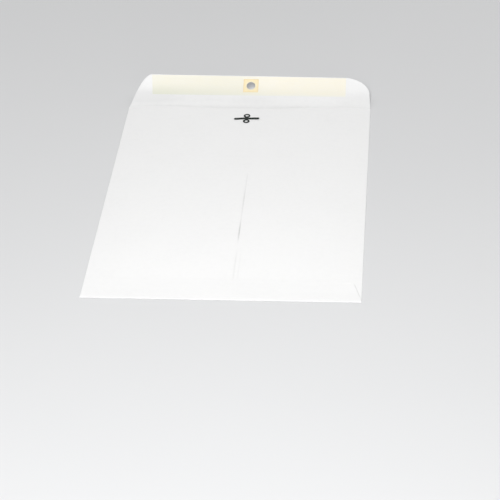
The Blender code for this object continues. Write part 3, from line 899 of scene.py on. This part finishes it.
def dried_gum(name, strength):
    """Cream gum laid by a roller: long streaks across the flap, thicker towards the right and thin at its
    ragged lower edge. Painted shade makes it darker at its foot, most at the left, and a little darker left
    of the hole."""
    f = Finish(name)
    flat = f.place()
    x, s = f.parts(flat)[:2]
    streak = f.noise(f.scaled(flat, (0.16, 1.0, 1.0)), 620.0, 3.0, 0.6, 0.4)
    pool = f.noise(flat, 38.0, 3.0, 0.55)
    grain = f.noise(flat, 1900.0, 2.0, 0.5)
    ragged = f.noise(flat, 330.0, 2.0, 0.6)
    low = f.step(s + 0.0022 * (ragged - 0.5), GUM_LOW_S, GUM_LOW_S + 0.0030)
    coat = strength * (0.66 + 0.5 * (pool - 0.5) + 0.45 * (streak - 0.5) + 0.5 * x) * (0.35 + 0.65 * low)
    foot = f.fade(s, GUM_LOW_S, 0.0330)
    # Painted shade: darker at the gum's foot, most at the left, and a little darker left of the hole above it
    painted_shade = (0.22 + 0.44 * f.fade(x, -0.060, 0.050) + 0.22 * f.fade(x, -0.100, -0.055)) * foot
    painted_shade = painted_shade + 0.28 * f.fade(x, -0.015, 0.020) * (1 - foot)
    colour = f.mix(coat, (0.904, 0.902, 0.888, 1.0), (0.940, 0.888, 0.732, 1.0))
    # The painted shade pulls the gum towards this darker cream
    colour = f.mix(painted_shade, colour, (0.740, 0.750, 0.640, 1.0))
    rough = 0.58 + 0.20 * (streak - 0.5) + 0.12 * (pool - 0.5)
    height = 0.000020 * streak + 0.000010 * grain + 0.000060 * pool
    return f.done(Base_Color=colour, Roughness=rough, Normal=f.bump(height, 0.8),
                  Coat_Weight=0.02 + 0.03 * pool, Coat_Roughness=0.45, Specular_IOR_Level=0.30)


def patch_stock(name):
    """Buff reinforcing paper: fibres, a paler rubbed ring round the hole and darker cut edges."""
    f = Finish(name)
    flat = f.place()
    x, s = f.parts(flat)[:2]
    up = s - HOLE_S
    fibre = f.noise(f.scaled(flat, (1.0, 2.8, 1.0)), 1700.0, 3.0, 0.65, 0.7)
    cloud = f.noise(flat, 300.0, 3.0, 0.6)
    rubbed = f.fade(distance(x, up), HOLE_R + 0.0002, HOLE_R + 0.0022)
    edge = f.step(abs(x).larger(abs(up)), PATCH_HALF - 0.0016, PATCH_HALF)
    share = 0.5 + 0.42 * (fibre - 0.5) + 0.40 * (cloud - 0.5) + 0.26 * rubbed - 0.30 * edge
    colour = f.ramp(share, (0.850, 0.668, 0.385), (0.928, 0.802, 0.516), (0.915, 0.850, 0.660))
    rough = 0.78 + 0.14 * (cloud - 0.5)
    height = 0.000022 * fibre + 0.000012 * cloud
    return f.done(Base_Color=colour, Roughness=rough, Normal=f.bump(height, 0.9), Specular_IOR_Level=0.30)


def steel_painted_dark(name):
    """Thin steel whose colour is painted near black, standing in for the dark surroundings that the shiny
    metal reflects: rolling lines along the strip, small clouds of wear and paler rubbed high spots."""
    f = Finish(name)
    here = f.here()
    z = f.parts(here)[Z]
    roll = f.noise(f.scaled(here, (0.10, 1.0, 1.0)), 9000.0, 2.0, 0.6)
    cloud = f.noise(here, 900.0, 3.0, 0.6)
    worn = f.step(f.noise(here, 2300.0, 2.0, 0.5), 0.35, 0.75)
    rub = f.step(z, CLASP_Z + 0.00038, CLASP_Z + 0.00062) * worn
    share = 0.34 + 0.50 * (cloud - 0.5) + 0.30 * (roll - 0.5) + 0.42 * rub
    # Painted shade: the colours are kept near black in place of dark reflections
    colour = f.ramp(share, (0.010, 0.015, 0.012), (0.034, 0.043, 0.038), (0.150, 0.155, 0.146))
    rough = 0.36 + 0.22 * (cloud - 0.5) + 0.12 * (roll - 0.5)
    height = 0.000006 * roll + 0.000008 * cloud
    return f.done(Base_Color=colour, Roughness=rough, Metallic=1.0, Normal=f.bump(height, 0.7))


def pale_floor():
    """Matt pale floor that passes into the backdrop's tone away from the object."""
    f = Finish("pale_floor")
    here = f.here()
    x, y = f.parts(here)[:2]
    cloud = f.noise(here, 3.0, 2.0, 0.5)
    colour = f.mix(cloud, (0.690, 0.694, 0.700, 1.0), (0.710, 0.713, 0.718, 1.0))
    f.backdrop(f.step(distance(x, y), 0.50, 1.60), "ShaderNodeEmission")
    return f.done(Base_Color=colour, Roughness=0.9, Specular_IOR_Level=0.1)


def studio():
    """Even light from all round, with the backdrop's tone where it is seen."""
    f = Finish("studio", bpy.data.worlds)
    f.backdrop(1.0, "ShaderNodeBackground")
    return f.done(Color=(1.0, 1.0, 1.0, 1.0), Strength=0.27)


# The object

front = make_piece("front_and_flap_paper", front_and_flap(), wove_paper("front_wove_paper", flap_painted_shading_and_marks))
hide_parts("front_panel", "seal_flap")
FOLD_Y - BOTTOM_Y + FLAP_DEPTH
FOLD_Y + HINGE_RUN
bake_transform(front)

left_back = make_piece("left_back_paper", back_sheet(-1, SEAM_STEP),
                       wove_paper("left_wove_paper", seam_painted_shadows_and_marks))
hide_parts("left_back_panel", "left_side_fold")
right_back = make_piece("right_back_paper", back_sheet(1, 0.0), wove_paper("right_wove_paper", seam_painted_shadows_and_marks))
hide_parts("right_back_panel", "right_side_fold")
bottom = make_piece("bottom_flap_paper", bottom_sheet(), wove_paper("bottom_wove_paper", bottom_marks))
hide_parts("bottom_fold", "bottom_flap")
for paper, flat in ((left_back, BACK_FLAT), (right_back, BACK_FLAT), (bottom, BOTTOM_FLAT)):
    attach(paper, "pocket")

seam = make_piece("seam_gum", seam_film(), dried_gum("seam_dried_gum", 0.6))
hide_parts("centre_seam_gum")
under = make_piece("bottom_gum", bottom_film(), dried_gum("bottom_dried_gum", 0.6))
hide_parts("bottom_flap_gum")
band = make_piece("flap_gum", gum_band(), dried_gum("flap_dried_gum", 1.0))
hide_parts("flap_gum_strip")
patch = make_piece("hole_patch_paper", hole_patch(), patch_stock("buff_patch_stock"))
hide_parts("hole_patch")
for piece, body, slot in ((seam, "pocket", "gum"), (under, "pocket", "gum"), (band, "flap", "gum"),
                          (patch, "flap", "patch_stock")):
    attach(piece, body)

steel = steel_painted_dark("darkened_clasp_steel")
base = make_piece("clasp_eyelets", clasp_base(), steel)
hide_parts("clasp_base")
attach(base, "pocket")
for name, side, sway in (("left_prong", -1, -0.0011), ("right_prong", 1, 0.0002)):
    strip = make_piece(name + "_strip", prong(side, sway), steel)
    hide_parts(name)
    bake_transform(strip)


# Floor, light and camera

def placing(right, up, back, spot):
    """Matrix that lays an object's X, Y and Z axes along right, up and back, at a spot."""
    return Matrix([(*row, at) for row, at in zip(zip(right, up, back), spot)] + [(0, 0, 0, 1)])


def soft_box(name, spot, power):
    """Square lamp that faces the origin: back is the way to its spot, right lies level, up is square to
    both."""
    lamp = bpy.data.lights.new(name, "AREA")
    lamp.shape = "SQUARE"
    lamp.size = LAMP_SIZE
    lamp.energy = power
    held = bpy.data.objects.new(name, lamp)
    bpy.context.scene.collection.objects.link(held)
    back = np.array(spot) / np.linalg.norm(spot)
    right = np.cross((0.0, 0.0, 1.0), back)
    right = right / np.linalg.norm(right)
    held.matrix_world = placing(right, np.cross(back, right), back, spot)


ground = bpy.data.meshes.new("floor")
corners = ((-1, -1), (1, -1), (1, 1), (-1, 1))
ground.from_pydata([(FLOOR_HALF * a, FLOOR_HALF * b, FLOOR_Z) for a, b in corners], [], [(0, 1, 2, 3)])
ground.materials.append(pale_floor())
floor = bpy.data.objects.new("floor", ground)
bpy.context.scene.collection.objects.link(floor)

for name, spot, power in LAMPS:
    soft_box(name, spot, power)
bpy.context.scene.world = studio()

view = bpy.data.cameras.new("camera")
view.lens = 125.03
view.sensor_width = 36.0
view.clip_start = 0.05
view.clip_end = 20.0
camera = bpy.data.objects.new("camera", view)
bpy.context.scene.collection.objects.link(camera)
camera.matrix_world = placing(CAMERA_RIGHT, CAMERA_UP, CAMERA_BACK, CAMERA_SPOT)
bpy.context.scene.camera = camera
bpy.context.scene.view_settings.view_transform = "Standard"
